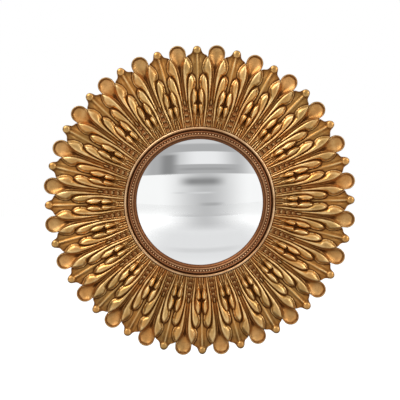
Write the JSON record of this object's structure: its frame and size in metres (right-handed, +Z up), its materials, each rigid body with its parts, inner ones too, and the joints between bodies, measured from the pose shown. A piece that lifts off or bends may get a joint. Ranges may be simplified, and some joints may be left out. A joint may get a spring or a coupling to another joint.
{
  "type": "convex mirror",
  "caption": "Round convex wall mirror in a wide gilt crown of carved leaves and spoon-shaped petals, hung by D-rings and padded off the wall.",
  "frame": {"origin": "middle of the wall plane, on the axis of the glass", "axes": "+Y into the wall (the glass faces -Y), +Z up, +X to the right of someone facing the mirror"},
  "size_m": [0.7436, 0.0513, 0.7436],
  "materials": {
    "gilt_resin": "antique gold leaf over red-brown clay, rubbed back on the high points",
    "gilt_moulding": "antique gold leaf, worn to red-brown on the carved band",
    "mirror_glass": "silvered on the rear face, polished front",
    "foam": "closed-cell foam, pale grey",
    "board": "brown hardboard, smooth",
    "ring_board": "medium-density fibreboard, bare",
    "zinc_strap": "bright zinc-plated sheet steel",
    "steel_wire": "bright zinc-plated steel",
    "brass_plate": "stamped brass, satin",
    "rubber_pad": "black rubber, matt"
  },
  "bodies": {
    "mirror": {"leaf_crown": "gilt_resin", "sight_ring": "gilt_moulding", "convex_glass": "mirror_glass", "foam_pads": "foam", "backing_board": "board", "back_ring": "ring_board", "hanger_strap_left": "zinc_strap", "hanger_strap_right": "zinc_strap", "wall_bumpers": "rubber_pad"},
    "turn_button_1": {"turn_button_1": "brass_plate"},
    "turn_button_2": {"turn_button_2": "brass_plate"},
    "turn_button_3": {"turn_button_3": "brass_plate"},
    "turn_button_4": {"turn_button_4": "brass_plate"},
    "d_ring_left": {"d_ring_left": "steel_wire"},
    "d_ring_right": {"d_ring_right": "steel_wire"}
  },
  "joints": [
    {"name": "button_turn_1", "type": "hinge", "parent": "mirror", "child": "turn_button_1", "pos_m": [0.12445, -0.00715, 0.12445], "axis": [0, 1, 0], "continuous": true},
    {"name": "button_turn_2", "type": "hinge", "parent": "mirror", "child": "turn_button_2", "pos_m": [0.12445, -0.00715, -0.12445], "axis": [0, 1, 0], "continuous": true},
    {"name": "button_turn_3", "type": "hinge", "parent": "mirror", "child": "turn_button_3", "pos_m": [-0.12445, -0.00715, -0.12445], "axis": [0, 1, 0], "continuous": true},
    {"name": "button_turn_4", "type": "hinge", "parent": "mirror", "child": "turn_button_4", "pos_m": [-0.12445, -0.00715, 0.12445], "axis": [0, 1, 0], "continuous": true},
    {"name": "ring_swing_left", "type": "hinge", "parent": "mirror", "child": "d_ring_left", "pos_m": [-0.165, -0.0053, 0.172], "axis": [1, 0, 0], "range_deg": [0, 180]},
    {"name": "ring_swing_right", "type": "hinge", "parent": "mirror", "child": "d_ring_right", "pos_m": [0.165, -0.0053, 0.172], "axis": [1, 0, 0], "range_deg": [0, 180]}
  ]
}
